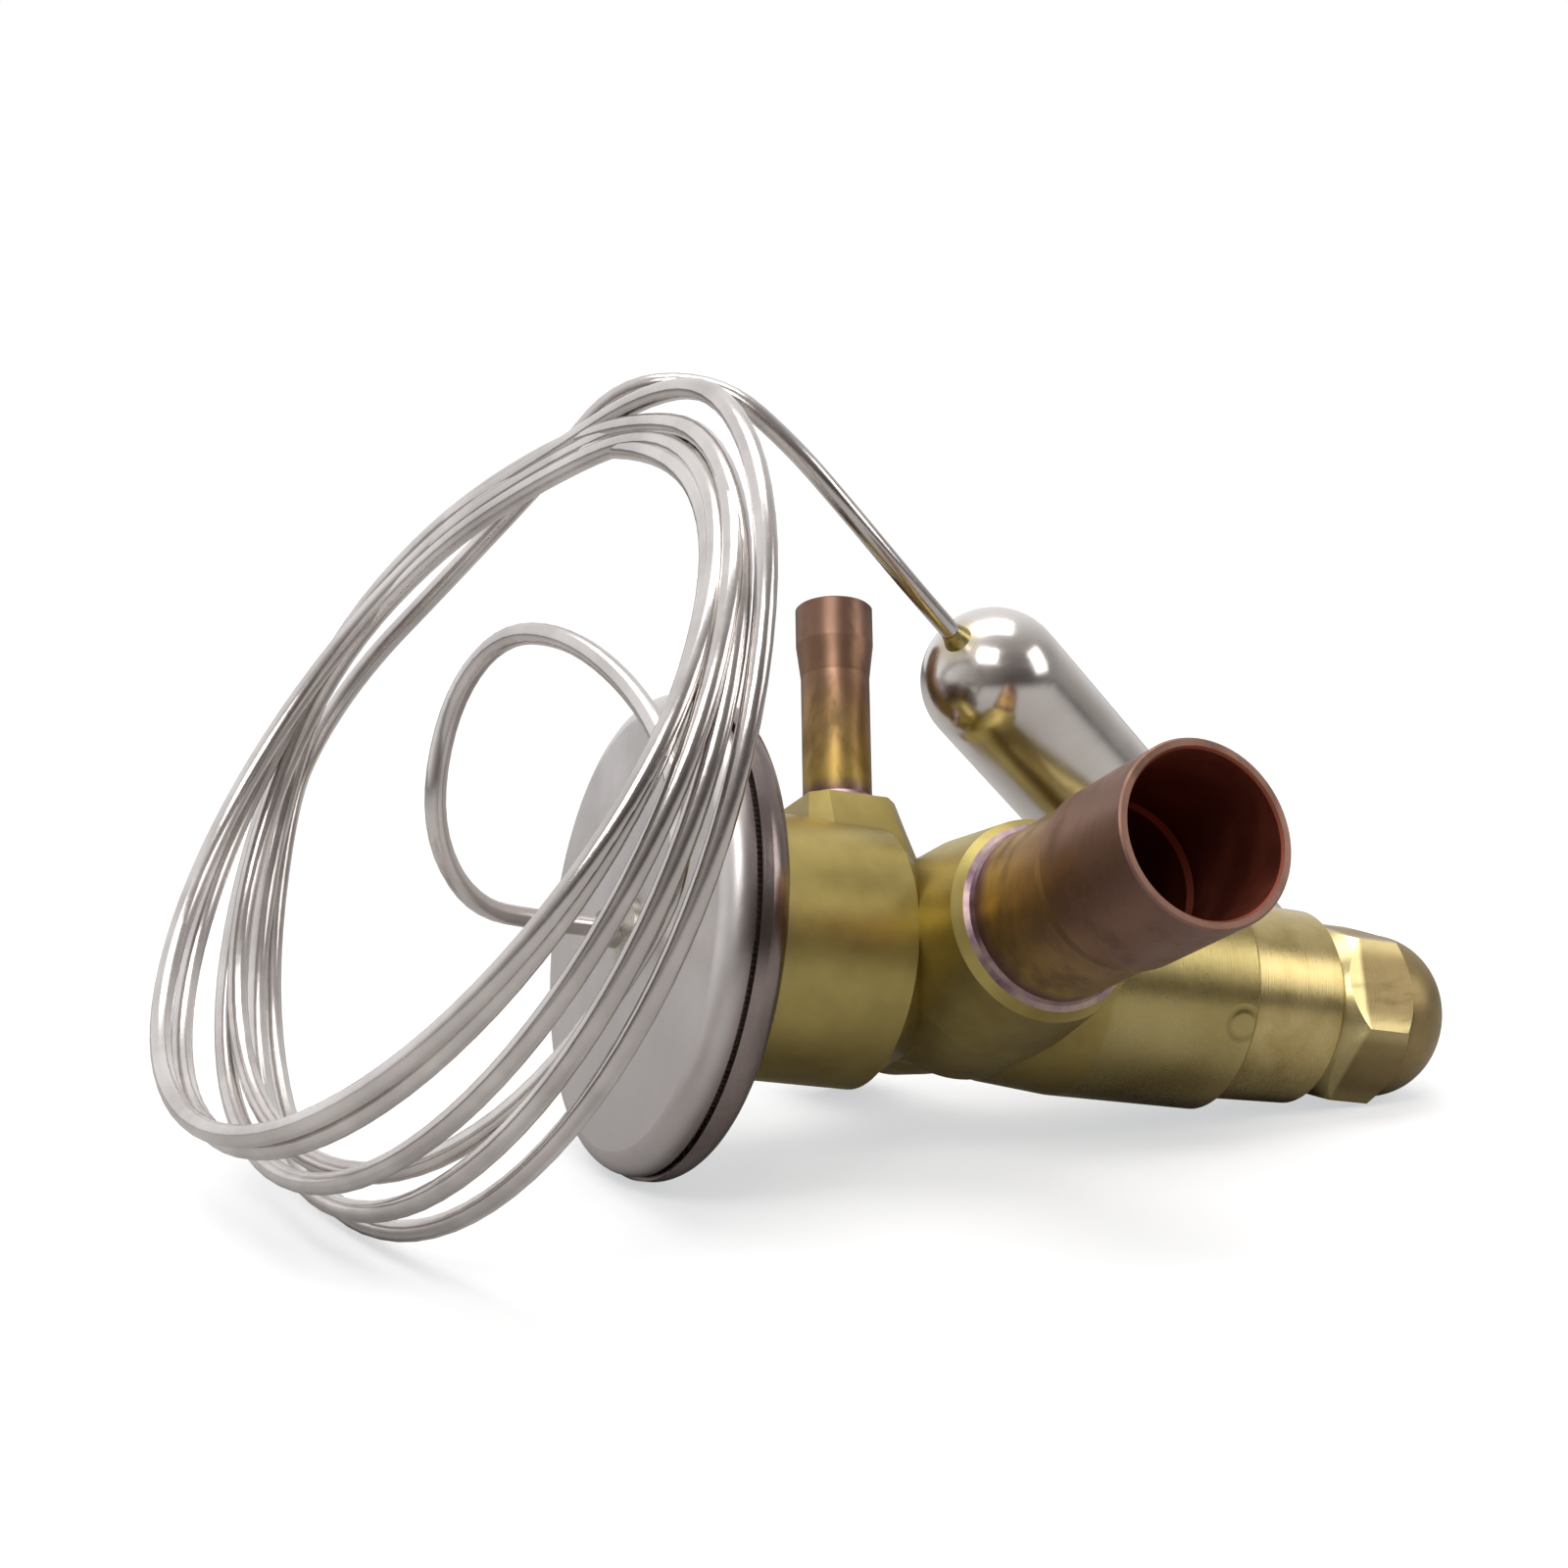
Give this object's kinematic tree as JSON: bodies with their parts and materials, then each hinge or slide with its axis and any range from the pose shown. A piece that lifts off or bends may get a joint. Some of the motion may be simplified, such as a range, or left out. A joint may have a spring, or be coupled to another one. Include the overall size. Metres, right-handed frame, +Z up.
{
  "type": "thermostatic expansion valve",
  "caption": "Angled brass expansion valve with a steel diaphragm head, copper solder stubs, a hexagon seal cap and a sensing bulb on a coiled capillary.",
  "frame": {"origin": "centre of the valve's own box, without the capillary and the bulb, on the table that it lies on", "axes": "+X runs along the valve from the diaphragm head to the seal cap, level with the table; +Y to the inlet's side; +Z up"},
  "size_m": [0.1417, 0.0905, 0.0801],
  "materials": {
    "head_steel": "drawn stainless steel, satin",
    "diaphragm_steel": "thin rolled stainless steel",
    "weld_steel": "rippled weld bead with a faint heat tint",
    "collar_steel": "turned steel with solder at its foot",
    "forged_brass": "hot-forged brass, slightly tarnished",
    "turned_brass": "turned brass",
    "cap_brass": "turned brass, dull with handling",
    "guide_brass": "reamed brass",
    "copper": "copper tube, oxidised and heat-tinted at the root",
    "silver_braze": "flowed silver solder",
    "strainer_mesh": "fine woven wire mesh",
    "seat_steel": "ground hardened steel",
    "pad_steel": "turned steel",
    "rod_steel": "ground steel",
    "spring_steel": "oiled spring wire",
    "seal_rubber": "black rubber",
    "packing": "white graphite-free packing",
    "gasket": "soft fibre ring",
    "bulb_steel": "polished stainless steel",
    "capillary_steel": "bright drawn stainless tube"
  },
  "bodies": {
    "valve": {"upper_cover": "head_steel", "lower_cover": "head_steel", "diaphragm": "diaphragm_steel", "rim_weld": "weld_steel", "capillary_collar": "collar_steel", "valve_body": "forged_brass", "outlet_stub": "copper", "inlet_stub": "copper", "equaliser_stub": "copper", "outlet_braze": "silver_braze", "inlet_braze": "silver_braze", "equaliser_braze": "silver_braze", "inlet_strainer": "strainer_mesh", "orifice_seat": "seat_steel", "rod_guide": "guide_brass", "rod_seal": "seal_rubber", "superheat_spring": "spring_steel", "spindle_housing": "turned_brass", "spindle_packing": "packing", "gland_screw": "turned_brass", "cap_gasket": "gasket", "sensing_bulb": "bulb_steel", "bulb_plug": "bulb_steel", "bulb_braze": "silver_braze", "capillary_start": "capillary_steel", "capillary_coil": "capillary_steel", "capillary_end": "capillary_steel"},
    "needle": {"pressure_pad": "pad_steel", "push_rod": "rod_steel", "valve_cone": "seat_steel", "spring_cup": "pad_steel"},
    "spindle": {"adjusting_spindle": "rod_steel"},
    "spring_nut": {"spring_seat": "turned_brass"},
    "cap": {"seal_cap": "cap_brass"}
  },
  "joints": [
    {"name": "needle_lift", "type": "slide", "parent": "valve", "child": "needle", "axis": [0.9832, 0, -0.1823], "range_m": [0, 0.0008], "stiffness_N_per_m": 3000, "springref_m": -0.0004, "deforming": ["superheat_spring"]},
    {"name": "spindle_turn", "type": "hinge", "parent": "valve", "child": "spindle", "pos_m": [0.03027, 0.00876, 0.01062], "axis": [0.9832, 0, -0.1823], "range_deg": [-1079.9, 1079.9]},
    {"name": "spring_nut_travel", "type": "slide", "parent": "valve", "child": "spring_nut", "axis": [0.9832, 0, -0.1823], "range_m": [-0.00225, 0.00225]},
    {"name": "cap_off", "type": "slide", "parent": "valve", "child": "cap", "axis": [0.9832, 0, -0.1823], "range_m": [0, 0.018]}
  ],
  "couplings": [
    {"joint": "spindle_turn", "follows": "spring_nut_travel", "rad_per_m": 8377.6}
  ]
}
